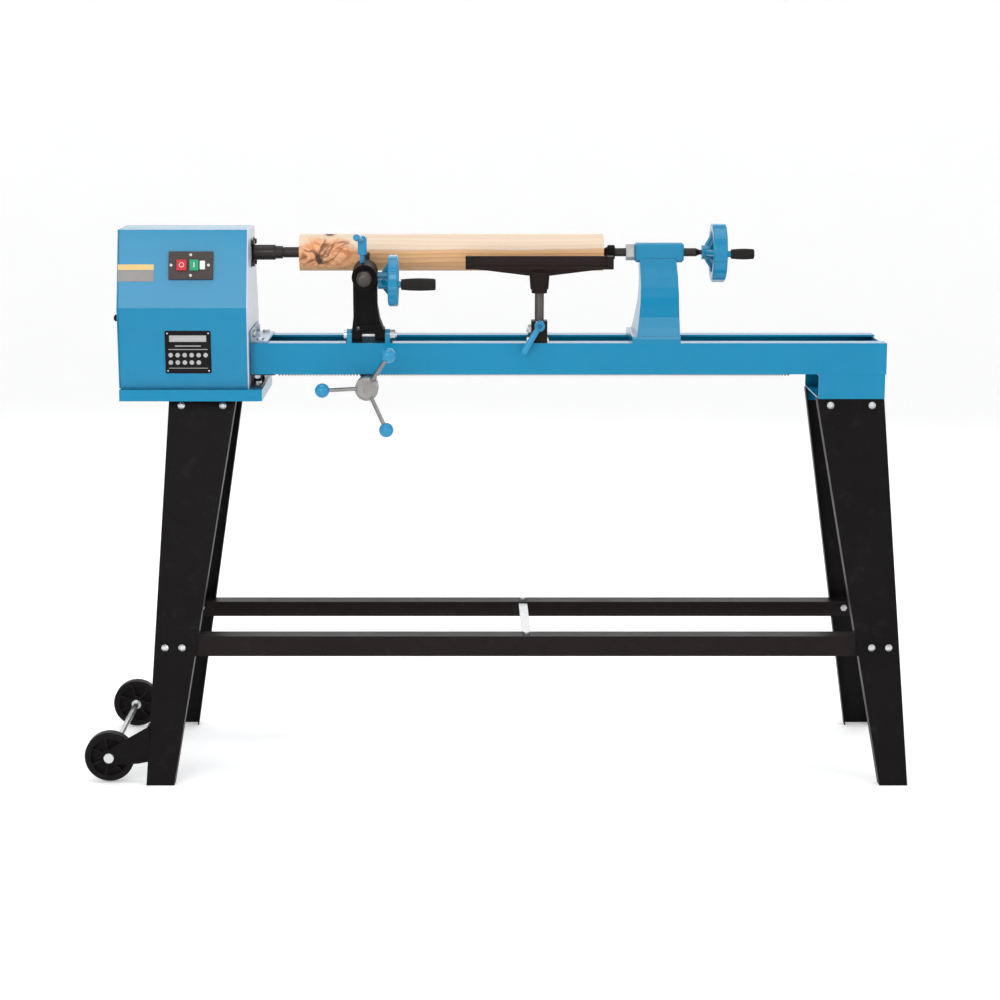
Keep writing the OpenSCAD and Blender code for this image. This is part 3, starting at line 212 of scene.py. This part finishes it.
def timber(name):
    """Round pine blank: heartwood low at the front, growth rings, fibres, a burl and a few knots."""
    lo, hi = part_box("blank")
    zc = (lo.z + hi.z) / 2
    s = Shader(name)
    s.fixed(Coat_Weight=0.12, Coat_Roughness=0.35, Specular_IOR_Level=0.4)
    split = s.add("ShaderNodeSeparateXYZ")
    s.link(s.coords, split.inputs[0])
    x, y, z = split.outputs

    def warped(value, centre, scale, amount, seed):
        noise = s.noise(scale, 3.0, 0.55, s.scaled((1.0, 1.0, 1.0), (seed, seed, seed)))
        shift = s.math("SUBTRACT", noise, 0.5)
        return s.math("MULTIPLY_ADD", shift, amount, s.math("SUBTRACT", value, centre))

    def hypot(a, b, across=1.0, up=1.0):
        a, b = s.math("DIVIDE", a, across), s.math("DIVIDE", b, up)
        return s.math("SQRT", s.math("ADD", s.math("MULTIPLY", a, a), s.math("MULTIPLY", b, b)))

    # Growth rings about a pith that drifts along the blank and swells round the burl
    burl_x, burl_z = lo.x + 0.045, zc - 0.002
    drift = s.noise(2.2, 2.0, 0.5, s.scaled((1.0, 5.0, 5.0)))
    ripple = s.noise(14.0, 3.0, 0.5, s.scaled((0.35, 1.0, 1.0)))
    radius = hypot(s.math("SUBTRACT", y, -0.020), s.math("SUBTRACT", z, zc - 0.016))
    radius = s.math("MULTIPLY_ADD", s.math("SUBTRACT", drift, 0.5), 0.014, radius)
    radius = s.math("MULTIPLY_ADD", s.math("SUBTRACT", ripple, 0.5), 0.006, radius)
    bx = warped(x, burl_x, 38.0, 0.030, 1.7)
    bz = warped(z, burl_z, 38.0, 0.030, 5.3)
    front = s.span(y, -0.002, -0.016)
    swell = s.span(hypot(bx, bz, 0.055, 0.034), 1.3, 0.5)
    radius = s.math("MULTIPLY_ADD", swell, -0.012, radius)
    ring = s.math("FRACT", s.math("MULTIPLY", radius, 165.0))
    late = s.math("POWER", ring, 2.6)
    heart = s.span(radius, 0.0315, 0.0275)

    fibre = s.noise(1.0, 4.0, 0.65, s.scaled((45.0, 1500.0, 1500.0)))
    pores = s.span(s.noise(1.0, 3.0, 0.7, s.scaled((90.0, 2600.0, 2600.0))), 0.58, 0.72)
    sap = s.blend(s.math("MULTIPLY", late, 0.45), (0.65, 0.525, 0.42), (0.56, 0.38, 0.22))
    core = s.blend(s.math("MULTIPLY", late, 0.8), (0.64, 0.34, 0.14), (0.36, 0.15, 0.050))
    base = s.blend(heart, sap, core)
    base = s.blend(s.span(fibre, 0.30, 0.75, 0.0, 0.30), base, (0.86, 0.66, 0.42))
    base = s.blend(s.math("MULTIPLY", pores, 0.22), base, (0.40, 0.20, 0.08))

    def spot(du, dv, across, up, tilt):
        """1 inside a tilted ellipse placed from the burl's middle, on the front only."""
        u, v = s.math("SUBTRACT", bx, du), s.math("SUBTRACT", bz, dv)
        cos, sin = math.cos(tilt), math.sin(tilt)
        along = s.math("ADD", s.math("MULTIPLY", u, cos), s.math("MULTIPLY", v, sin))
        over = s.math("SUBTRACT", s.math("MULTIPLY", v, cos), s.math("MULTIPLY", u, sin))
        return s.math("MULTIPLY", s.span(hypot(along, over, across, up), 1.0, 0.55), front)

    # The burl: reddish swirls, dark branching veins, dark eyes and a tongue to its right
    reach = hypot(s.math("SUBTRACT", bx, 0.012), bz, 0.062, 0.033)
    zone = s.math("MULTIPLY", s.span(reach, 1.08, 0.80), front)
    swirl = s.noise(22.0, 4.0, 0.6, warp=2.6)
    flesh = s.blend(s.span(swirl, 0.38, 0.60), (0.52, 0.175, 0.055), (0.76, 0.38, 0.19))
    base = s.blend(s.math("MULTIPLY", zone, 0.85), base, flesh)
    ridge = s.math("ABSOLUTE", s.math("SUBTRACT", s.noise(13.0, 3.0, 0.6, warp=1.0), 0.5))
    vein = s.math("MULTIPLY", s.span(ridge, 0.022, 0.006), zone)
    base = s.blend(s.math("MULTIPLY", vein, 0.75), base, (0.12, 0.036, 0.013))
    mottled = s.span(s.noise(220.0, 4.0, 0.7), 0.35, 0.65)
    ink = s.blend(mottled, (0.020, 0.007, 0.004), (0.11, 0.038, 0.015))
    streaks = ((0.046, 0.006, 0.030, 0.0065, -0.08, 0.75, (0.46, 0.155, 0.045)),
               (0.006, 0.013, 0.019, 0.0060, 0.95, 0.85, (0.15, 0.048, 0.018)),
               (-0.003, -0.007, 0.021, 0.0090, -0.80, 1.0, ink),
               (-0.022, 0.006, 0.018, 0.0032, -0.45, 0.8, (0.16, 0.050, 0.018)))
    for du, dv, across, up, tilt, strength, colour in streaks:
        base = s.blend(s.math("MULTIPLY", spot(du, dv, across, up, tilt), strength), base, colour)

    # Round knots: on top near the burl, and two on the far side
    knots = ((lo.x + 0.062, lo.y + 0.030, hi.z, 0.0105), (lo.x + 0.330, hi.y, zc + 0.006, 0.012),
             (lo.x + 0.170, hi.y - 0.010, hi.z - 0.012, 0.008))
    for kx, ky, kz, across in knots:
        gap = hypot(hypot(warped(x, kx, 60.0, 0.004, 2.0), s.math("SUBTRACT", y, ky)),
                    s.math("SUBTRACT", z, kz), across, across * 0.75)
        base = s.blend(s.math("MULTIPLY", s.span(gap, 1.5, 0.95), 0.6), base, (0.42, 0.18, 0.07))
        base = s.blend(s.span(gap, 0.95, 0.65), base, ink)
    rough = s.span(fibre, 0.3, 0.7, 0.44, 0.60)
    height = s.math("ADD", s.math("MULTIPLY", fibre, 0.5), s.math("MULTIPLY", late, 0.35))
    return s.finish(base, rough, s.bump(height, 0.30, 0.0006, s.rounded(0.0006)))


# ---------------------------------------------------------------- materials

BLUE = (0.002, 0.198, 0.366)
blue = painted("blue_enamel", BLUE)
# Darker copy of the blue paint for the bed gusset: painted shade where the gusset sits back under the rail.
painted_shade_blue = painted("painted_shade_blue_enamel", (0.008, 0.048, 0.110), gloss=0.3, wear=0.6)
# Whitish copy of the blue paint for the bed clamp plate: a painted highlight on its lit diagonal face.
painted_highlight_blue = painted("painted_highlight_blue_enamel", (0.30, 0.47, 0.60), gloss=0.3)
cast_blue = painted("blue_casting_enamel", shade(BLUE, 0.96), gloss=0.25, peel=0.35, coat=0.45,
                    wear=0.45)
# A lighter blue than BLUE; on the capstan balls this lighter blue is a painted highlight.
lever_blue = painted("blue_lever_enamel", (0.010, 0.225, 0.430), gloss=0.22, coat=0.45, wear=0.5)
white = painted("panel_enamel", (0.49, 0.51, 0.595), gloss=0.28, wear=0.2)
grey = painted("motor_enamel", (0.10, 0.12, 0.14), gloss=0.4)
stand_black = textured("stand_powder_coat", (0.0055, 0.0046, 0.0046), rough=0.36, grain=650.0,
                       depth=0.22, rub=0.08, soft=0.0006)
stretcher_black = textured("stretcher_powder_coat", (0.013, 0.0095, 0.0095), rough=0.36, grain=650.0,
                           depth=0.22, rub=0.08, soft=0.0006)
cast_black = textured("black_casting", (0.0045, 0.0038, 0.0036), rough=0.42, grain=420.0, depth=0.40,
                      dusty=0.03)
rest_black = textured("worn_black_casting", (0.016, 0.0105, 0.0095), rough=0.42, grain=420.0,
                      depth=0.40, dusty=0.05)
plastic = textured("moulded_black_plastic", (0.0075, 0.006, 0.006), rough=0.42, grain=900.0, depth=0.18)
switch_plastic = textured("switch_plate_plastic", (0.062, 0.050, 0.048), rough=0.45, grain=900.0,
                          depth=0.18, worn=(0.02, 0.02, 0.02))
grip_black = textured("grip_plastic", (0.0095, 0.0072, 0.0072), rough=0.46, grain=800.0, depth=0.30,
                      level=0.14)
rubber = textured("belt_rubber", (0.012, 0.012, 0.012), rough=0.7, grain=900.0, depth=0.3, dusty=0.2)
zinc = metal("zinc_plate", (0.62, 0.63, 0.64), rough=0.28, scale=300.0)
turned_x = metal("steel_turned_about_x", (0.030, 0.027, 0.026), rough=0.34, lay=(1.0, 0.02, 0.02),
                 scale=1400.0, depth=0.25, stain=0.3, tint=(0.02, 0.018, 0.016))
turned_y = metal("steel_turned_about_y", (0.31, 0.30, 0.29), rough=0.28, lay=(0.02, 1.0, 0.02),
                 scale=1400.0, depth=0.25)
bar_steel = metal("oiled_bar_steel", (0.085, 0.072, 0.066), rough=0.42, lay=(1.0, 0.02, 1.0),
                  scale=900.0, depth=0.25, stain=0.5, tint=(0.06, 0.05, 0.045))
turned_z = metal("steel_turned_about_z", (0.115, 0.100, 0.095), rough=0.38, lay=(0.02, 0.02, 1.0),
                 scale=1400.0, depth=0.25, stain=0.4, tint=(0.06, 0.05, 0.045))
dark_x = metal("blackened_steel", (0.045, 0.040, 0.039), rough=0.38, lay=(1.0, 0.03, 0.03),
               scale=1100.0, depth=0.3, stain=0.4, tint=(0.02, 0.018, 0.016))
dark = metal("dark_rack_steel", (0.035, 0.034, 0.036), rough=0.5, scale=500.0, stain=0.5,
             tint=(0.02, 0.02, 0.02))
cast_grey = metal("raw_casting", (0.46, 0.46, 0.46), rough=0.55, scale=260.0, depth=0.7, stain=0.15)
alloy = metal("pulley_alloy", (0.62, 0.62, 0.63), rough=0.3, lay=(1.0, 0.02, 0.02), scale=1200.0)
red = textured("red_button_plastic", (0.43, 0.008, 0.020), rough=0.25, grain=900.0, depth=0.06,
               dusty=0.0, coat=0.3, worn=(0.70, 0.15, 0.15))
green = textured("green_button_plastic", (0.004, 0.25, 0.11), rough=0.25, grain=900.0, depth=0.06,
                 dusty=0.0, coat=0.3, worn=(0.10, 0.40, 0.22))
mark_white = textured("white_plastic", (0.70, 0.70, 0.68), rough=0.35, grain=900.0, depth=0.06,
                      worn=(0.5, 0.5, 0.5))
plate_black = textured("black_sheet", (0.009, 0.008, 0.009), rough=0.32, grain=900.0, depth=0.05,
                       rub=0.1)
mark_grey = textured("printed_grey", (0.36, 0.36, 0.36), rough=0.40, grain=900.0, depth=0.05,
                     worn=(0.3, 0.3, 0.3))
plate_yellow = textured("yellow_sheet", (0.62, 0.45, 0.20), rough=0.35, grain=900.0, depth=0.05,
                        worn=(0.5, 0.4, 0.2))
plate_grey = textured("grey_sheet", (0.25, 0.24, 0.24), rough=0.35, grain=900.0, depth=0.05,
                      worn=(0.4, 0.4, 0.4))
wood = timber("pine")

LOOKS = {
    blue: ["bed_rail_front", "bed_rail_rear", "bed_riser", "headstock_tray", "headstock_cover",
           "belt_door"],
    # The gusset's darker blue is painted shade.
    painted_shade_blue: ["bed_gusset"],
    cast_blue: ["carriage_saddle", "tailstock", "tail_handwheel", "arm_handwheel"],
    # The capstan balls take the lighter lever blue as a painted highlight.
    lever_blue: ["arm_lever", "banjo_lever", "capstan_balls"],
    # The clamp plate's whitish blue is a painted highlight.
    painted_highlight_blue: ["bed_clamp_plate"],
    white: ["headstock_end_panel"],
    grey: ["motor"],
    stand_black: ["leg_front_left", "leg_front_right", "leg_rear_left", "leg_rear_right", "wheel_brackets"],
    stretcher_black: ["stretcher_front", "stretcher_rear"],
    cast_black: ["tool_arm", "spindle_frame", "bearing_cap", "centre_bearing"],
    rest_black: ["rest_banjo", "tool_rest"],
    plastic: ["wheel_front", "wheel_rear", "door_latch", "cable_gland"],
    switch_plastic: ["switch_plate"],
    grip_black: ["arm_grip", "tail_grip"],
    rubber: ["drive_belt"],
    zinc: ["stretcher_spacer", "stand_bolts", "wheel_axle", "bed_bolts", "arm_pin", "rest_clamp",
           "tail_clamp"],
    turned_y: ["capstan", "feed_shaft"],
    bar_steel: ["tool_bar"],
    turned_x: ["live_centre"],
    turned_z: ["rest_post"],
    dark_x: ["spindle", "drive_centre", "tail_screw"],
    dark: ["feed_rack"],
    cast_grey: ["lock_nut"],
    alloy: ["spindle_pulley", "motor_rotor"],
    red: ["stop_button"],
    green: ["start_button"],
    wood: ["blank"],
}
for material, names in LOOKS.items():
    for name in names:
        nodes[name].data.materials.clear()
        nodes[name].data.materials.append(material)

# ---------------------------------------------------------------- small pieces


def piece(name, mesh, material, body, place=None):
    obj = bpy.data.objects.new(name, mesh)
    bpy.context.scene.collection.objects.link(obj)
    mesh.materials.append(material)
    if place is not None:
        mesh.transform(place)
    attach(obj, body)
    return obj


def made(name, bm):
    """Mesh from a bmesh, which is freed."""
    mesh = bpy.data.meshes.new(name)
    bm.to_mesh(mesh)
    bm.free()
    return mesh


def circle_verts(bm, radius, z, sides, start=0.0):
    """Ring of new vertices round z, counter-clockwise."""
    turns = [start + 2 * math.pi * i / sides for i in range(sides)]
    return [bm.verts.new((radius * math.cos(a), radius * math.sin(a), z)) for a in turns]


def close_rings(bm, rings):
    """Walls between rings of vertices from the lowest up, and a cap at each end."""
    for low, high in zip(rings, rings[1:]):
        for i in range(len(low)):
            j = (i + 1) % len(low)
            bm.faces.new((low[i], low[j], high[j], high[i]))
    bm.faces.new(rings[-1])
    bm.faces.new(list(reversed(rings[0])))


def plate_mesh(name, width, height, thick, corner, lip=0.0002):
    """Flat plate with rounded corners and a softened rim, lying on its own z = 0."""
    bm = bmesh.new()
    half_w, half_h = width / 2 - corner, height / 2 - corner
    rim = []
    for cx, cy, start in ((1, 1, 0), (-1, 1, 90), (-1, -1, 180), (1, -1, 270)):
        for step in range(7):
            a = math.radians(start + 15 * step)
            rim.append((cx * half_w + corner * math.cos(a), cy * half_h + corner * math.sin(a)))
    rings = []
    for z, inset in ((0.0, 0.0), (thick - lip, 0.0), (thick, lip)):
        fx, fy = 1 - 2 * inset / width, 1 - 2 * inset / height
        rings.append([bm.verts.new((x * fx, y * fy, z)) for x, y in rim])
    close_rings(bm, rings)
    return made(name, bm)


def turned_mesh(name, profile, sides=40):
    """Surface of revolution about z from (radius, z) pairs, closed at both ends."""
    bm = bmesh.new()
    close_rings(bm, [circle_verts(bm, r, z, sides) for r, z in profile])
    mesh = made(name, bm)
    for polygon in mesh.polygons:
        polygon.use_smooth = len(polygon.vertices) == 4
    return mesh


def ring_mesh(name, radius, section, sides=40, around=10):
    """Torus about z."""
    bm = bmesh.new()
    loops = []
    for i in range(sides):
        a = 2 * math.pi * i / sides
        loop = []
        for j in range(around):
            b = 2 * math.pi * j / around
            r = radius + section * math.cos(b)
            loop.append(bm.verts.new((r * math.cos(a), r * math.sin(a), section * math.sin(b))))
        loops.append(loop)
    for i in range(sides):
        here, there = loops[i], loops[(i + 1) % sides]
        for j in range(around):
            bm.faces.new((here[j], there[j], there[(j + 1) % around], here[(j + 1) % around]))
    bmesh.ops.recalc_face_normals(bm, faces=bm.faces)
    mesh = made(name, bm)
    for polygon in mesh.polygons:
        polygon.use_smooth = True
    return mesh


def facing(origin, right, up):
    """Matrix whose x and y run along right and up, placed at origin."""
    right, up = Vector(right).normalized(), Vector(up).normalized()
    out = right.cross(up)
    return Matrix.Translation(origin) @ Matrix((right, up, out)).transposed().to_4x4()


# The headstock's two front faces, from the cover's own box
cover_lo, cover_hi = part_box("headstock_cover")
FOLD = Vector((0, cover_lo.y, cover_lo.z + 0.164))
CREST = Vector((0, cover_lo.y + 0.046, cover_hi.z))
SILL = Vector((0, cover_lo.y + 0.013, cover_lo.z))


def on_face(x, z, low, high, out=0.0):
    """Frame on a front face of the headstock at x and height z, lifted by out."""
    along = high - low
    point = low + along * ((z - low.z) / along.z)
    place = facing(Vector((x, point.y, z)), (1, 0, 0), along)
    return place @ Matrix.Translation((0, 0, out))


def upper(x, z, out=0.0):
    return on_face(x, z, FOLD, CREST, out)


def prism_mesh(name, outlines, thick):
    """Upright prisms of one thickness standing on z = 0, one for each outline."""
    bm = bmesh.new()
    for outline in outlines:
        low = [bm.verts.new((x, y, 0)) for x, y in outline]
        high = [bm.verts.new((x, y, thick)) for x, y in outline]
        close_rings(bm, [low, high])
    return made(name, bm)


def hex_bolt_mesh(name, across_flats, height, washer_radius):
    """Hexagon head with a chamfered top on a round washer, standing on z = 0."""
    bm = bmesh.new()
    corner, seat, chamfer = across_flats / math.sqrt(3), 0.0012, 0.0008
    close_rings(bm, [circle_verts(bm, washer_radius, z, 36) for z in (0.0, seat)])
    levels = ((corner, seat), (corner, height - chamfer), (0.88 * corner, height))
    close_rings(bm, [circle_verts(bm, radius, z, 6, 0.3) for radius, z in levels])
    return made(name, bm)


panel_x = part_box("headstock_end_panel")[1].x


def middle(node):
    """Centre of a node's box at rest, as x, y and z."""
    return [(low + high) / 2 for low, high in zip(*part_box(node))]


# Screws, lamp and symbols on the switch plate
SWITCH_Z = cover_lo.z + 0.2462
PLATE_OUT = 0.0062
BUTTON_OUT = 0.0092
SCREW = [(0.0028, 0.0), (0.0028, 0.0006), (0.0024, 0.0013), (0.0016, 0.0018), (0.0007, 0.0020)]
SCREW_PLACES = (("top", 0.0, 0.020), ("bottom", 0.0, -0.020), ("left", -0.039, 0.0),
                ("right", 0.0355, 0.0))


def switch_details():
    switch_x = middle("switch_plate")[0]
    for label, dx, dz in SCREW_PLACES:
        name = "switch_screw_" + label
        piece(name, turned_mesh(name, SCREW, 24), mark_white, "stand",
              upper(switch_x + dx, SWITCH_Z + dz, PLATE_OUT))
        name = "switch_screw_slot_" + label
        turn = Matrix.Rotation(0.6 + 9 * dx + 20 * dz, 4, "Z")
        piece(name, plate_mesh(name, 0.0036, 0.0006, 0.0004, 0.0001, 0.0001), plate_black, "stand",
              upper(switch_x + dx, SWITCH_Z + dz, PLATE_OUT + 0.00175) @ turn)
    lamp = plate_mesh("switch_lamp", 0.0105, 0.0175, 0.0022, 0.0015, 0.0005)
    piece("switch_lamp", lamp, mark_white, "stand",
          upper(switch_x + 0.0235, SWITCH_Z, PLATE_OUT))
    piece("stop_ring", ring_mesh("stop_ring", 0.0045, 0.00055), mark_white, "stop_key",
          upper(middle("stop_button")[0], SWITCH_Z, BUTTON_OUT))
    bar = plate_mesh("start_bar", 0.0018, 0.0105, 0.0006, 0.0008, 0.0002)
    piece("start_bar", bar, mark_white, "start_key",
          upper(middle("start_button")[0], SWITCH_Z, BUTTON_OUT))


# Hexagon-head bolts that hold the spindle frame to the end panel
BOLT_ACROSS, BOLT_UP = 0.026, 0.021


def frame_bolts():
    axis_y, axis_z = middle("spindle")[1:]
    for side, dy in (("front", -BOLT_ACROSS), ("rear", BOLT_ACROSS)):
        for level, dz in (("low", -BOLT_UP), ("high", BOLT_UP)):
            name = "frame_bolt_%s_%s" % (side, level)
            piece(name, hex_bolt_mesh(name, 0.010, 0.0070, 0.0082), dark_x, "stand",
                  facing(Vector((panel_x, axis_y + dy, axis_z + dz)), (0, 1, 0), (0, 0, 1)))


# Plates on the headstock's front, with plain bars and discs instead of words and signs
LOWER_X, LOWER_Z = panel_x - 0.1205, cover_lo.z + 0.0753
LOWER_W, LOWER_H, LOWER_T = 0.092, 0.0864, 0.0009
HAND_X, HAND_Z = cover_lo.x + 0.0435, cover_lo.z + 0.2260
RIVET = [(0.0019, 0.0), (0.0018, 0.0004), (0.0012, 0.0009), (0.0004, 0.0011)]
MARK_BARS = ((0.0275, 0.074, 0.0130), (0.0125, 0.052, 0.0022), (0.0055, 0.078, 0.0016),
             (-0.0325, 0.078, 0.0012))
DISC_ROWS = ((-0.0060, 6), (-0.0210, 5))
DISC_PITCH, DISC_RADIUS, DISC_SIDES = 0.014, 0.0046, 28


def bar_outline(y, width, height):
    corners = ((-1, -1), (1, -1), (1, 1), (-1, 1))
    return [(sx * width / 2, y + sy * height / 2) for sx, sy in corners]


def disc_outline(x, y, radius):
    turns = [2 * math.pi * i / DISC_SIDES for i in range(DISC_SIDES)]
    return [(x + radius * math.cos(a), y + radius * math.sin(a)) for a in turns]


def front_plates():
    def on_lower(dx, dz, out):
        return on_face(LOWER_X + dx, LOWER_Z + dz, SILL, FOLD, out)

    piece("lower_plate", plate_mesh("lower_plate", LOWER_W, LOWER_H, LOWER_T, 0.003), plate_black, "stand",
          on_lower(0, 0, 0.0001))
    for side, dx in (("left", -0.041), ("right", 0.041)):
        for level, dz in (("low", -0.038), ("high", 0.038)):
            name = "lower_rivet_%s_%s" % (side, level)
            piece(name, turned_mesh(name, RIVET, 20), zinc, "stand", on_lower(dx, dz, LOWER_T))
    marks = [bar_outline(*bar) for bar in MARK_BARS]
    for y, count in DISC_ROWS:
        marks += [disc_outline(DISC_PITCH * (i - 2.5), y, DISC_RADIUS) for i in range(count)]
    piece("lower_plate_marks", prism_mesh("lower_plate_marks", marks, 0.0002), mark_grey, "stand",
          on_lower(0, 0, 0.00102))
    for name, height, up, material in (("hand_plate_top", 0.012, 0.0172, plate_yellow),
                                       ("hand_plate_base", 0.022, 0.0, plate_grey)):
        piece(name, plate_mesh(name, 0.072, height, 0.0005, 0.0012), material, "stand",
              upper(HAND_X, HAND_Z + up, 0.0001))


switch_details()
frame_bolts()
front_plates()

# ---------------------------------------------------------------- stage, light and camera

CENTRE_X = -0.0635
FLOOR_Z = -0.0006
FLOOR_GLOW = 0.28


def backdrop():
    """Round floor that curves up into a wall on all sides, both pale."""
    radius, bend, top, sides, steps = 6.6, 2.6, 9.0, 72, 12
    line = [(0.6, FLOOR_Z), (3.0, FLOOR_Z), (radius, FLOOR_Z)]
    for step in range(1, steps + 1):
        a = math.radians(90 * step / steps)
        line.append((radius + bend * math.sin(a), FLOOR_Z + bend * (1 - math.cos(a))))
    line.append((radius + bend, top))
    bm = bmesh.new()
    rows = [circle_verts(bm, r, z, sides) for r, z in line]
    bm.faces.new(rows[0])
    for low, high in zip(rows, rows[1:]):
        for i in range(sides):
            bm.faces.new((low[i], high[i], high[(i + 1) % sides], low[(i + 1) % sides]))
    mesh = made("backdrop", bm)
    for polygon in mesh.polygons:
        polygon.use_smooth = True
    obj = bpy.data.objects.new("backdrop", mesh)
    bpy.context.scene.collection.objects.link(obj)
    s = Shader("pale_floor")
    s.fixed(Emission_Color=(1.0, 1.0, 1.0, 1.0), Emission_Strength=FLOOR_GLOW, Specular_IOR_Level=0.1)
    tone = s.blend(s.noise(3.0, 4.0), (0.88, 0.88, 0.88), (0.91, 0.91, 0.91))
    mesh.materials.append(s.finish(tone, 0.8, s.bump(s.noise(300.0, 3.0), 0.05, 0.0005)))


# Each light's place, the point it faces, its width and height, and its power
LIGHTS = {
    "key": ((-1.4, -4.3, 2.7), (-0.2, 0, 0.8), (3.4, 1.5), 72),
    "fill": ((3.6, -2.6, 2.2), (0, 0, 0.7), (1.8, 2.2), 26),
    "top": ((0.0, -0.2, 4.4), (0, 0, 0.8), (4.4, 3.0), 82),
    "back": ((0.6, 3.8, 2.8), (0, 0, 0.9), (4.0, 1.6), 34),
}


def area_light(name, place, target, size, power):
    data = bpy.data.lights.new(name, "AREA")
    data.shape = "RECTANGLE"
    data.size, data.size_y = size
    data.energy = power
    obj = bpy.data.objects.new(name, data)
    bpy.context.scene.collection.objects.link(obj)
    obj.location = place
    obj.rotation_euler = (Vector(target) - Vector(place)).to_track_quat("-Z", "Y").to_euler()
    obj.visible_camera = False


backdrop()
for name, (place, target, size, power) in LIGHTS.items():
    area_light(name, place, target, size, power)
world = bpy.data.worlds.new("studio")
bpy.context.scene.world = world
world.use_nodes = True
world.node_tree.nodes["Background"].inputs["Color"].default_value = (0.98, 0.99, 1.0, 1.0)
world.node_tree.nodes["Background"].inputs["Strength"].default_value = 0.30
bpy.context.scene.view_settings.view_transform = "Standard"

camera_data = bpy.data.cameras.new("camera")
camera = bpy.data.objects.new("camera", camera_data)
bpy.context.scene.collection.objects.link(camera)
bpy.context.scene.camera = camera
camera_data.sensor_width = 36.0
camera_data.lens = 88.81
camera_data.shift_x = 0.036
camera_data.clip_end = 60.0
camera.location = (CENTRE_X, -5.036, 1.4285)
camera.rotation_euler = (math.radians(80.0), 0.0, 0.0)
